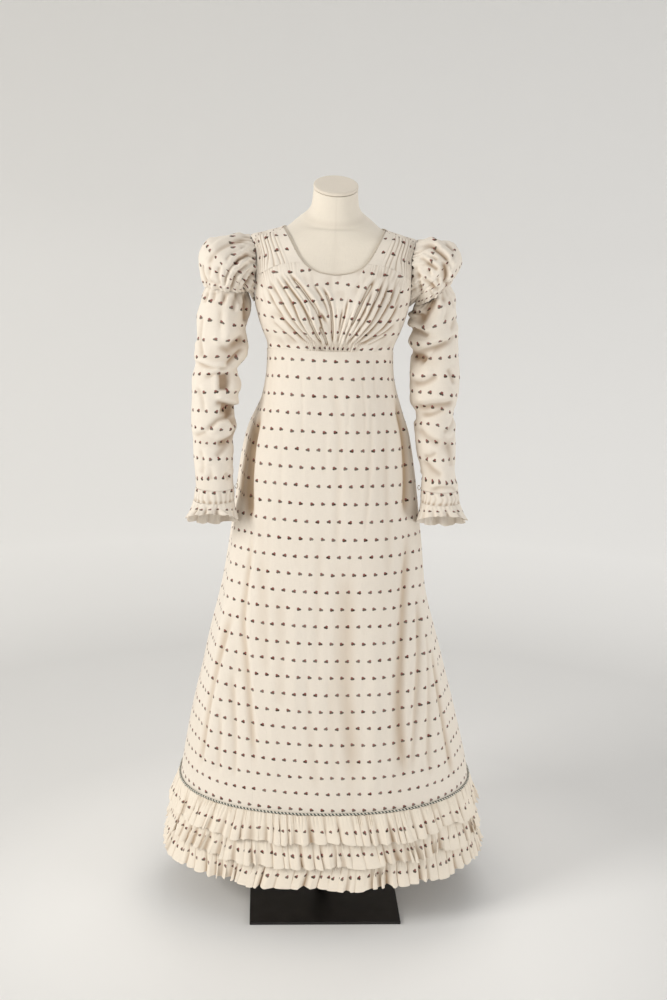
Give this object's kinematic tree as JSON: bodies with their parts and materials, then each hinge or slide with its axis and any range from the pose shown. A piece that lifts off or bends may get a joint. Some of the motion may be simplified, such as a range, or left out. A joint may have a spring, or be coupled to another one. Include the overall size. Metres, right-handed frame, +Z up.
{
  "type": "regency gown on dress form",
  "caption": "High-waisted cotton gown with puffed long sleeves and a flounced hem, standing on a limbless cloth-covered dress form with a pole and square base",
  "frame": {"origin": "middle of the base plate's underside, on the floor", "axes": "+Z up, the gown faces -Y, +X is the wearer's left"},
  "size_m": [0.6744, 0.5534, 1.4497],
  "materials": {
    "sprigged_cotton": "thin cream cotton with small dark and rose sprigs in rows",
    "trim_cord": "fine white cord wrapped with dark green-black thread",
    "form_cloth": "matt cream cotton jersey stretched over a padded form",
    "black_metal": "satin black powder coat"
  },
  "bodies": {
    "root": {"base_plate": "black_metal", "pole": "black_metal", "form_body": "form_cloth", "form_neck": "form_cloth", "neck_cap": "form_cloth", "bodice_front": "sprigged_cotton", "bodice_back_left": "sprigged_cotton", "bodice_back_right": "sprigged_cotton", "side_body_left": "sprigged_cotton", "side_body_right": "sprigged_cotton", "strap_left": "sprigged_cotton", "strap_right": "sprigged_cotton", "neck_binding": "sprigged_cotton", "waistband": "sprigged_cotton", "skirt_front": "sprigged_cotton", "skirt_side_left": "sprigged_cotton", "skirt_side_right": "sprigged_cotton", "skirt_back": "sprigged_cotton", "hem_cord": "trim_cord", "flounce_1": "sprigged_cotton", "flounce_2": "sprigged_cotton", "flounce_3": "sprigged_cotton", "puff_left": "sprigged_cotton", "puff_right": "sprigged_cotton", "sleeve_left": "sprigged_cotton", "sleeve_right": "sprigged_cotton", "cuff_band_left": "sprigged_cotton", "cuff_band_right": "sprigged_cotton", "cuff_frill_left": "sprigged_cotton", "cuff_frill_right": "sprigged_cotton", "cuff_tie_left": "sprigged_cotton", "cuff_tie_right": "sprigged_cotton"}
  },
  "joints": []
}
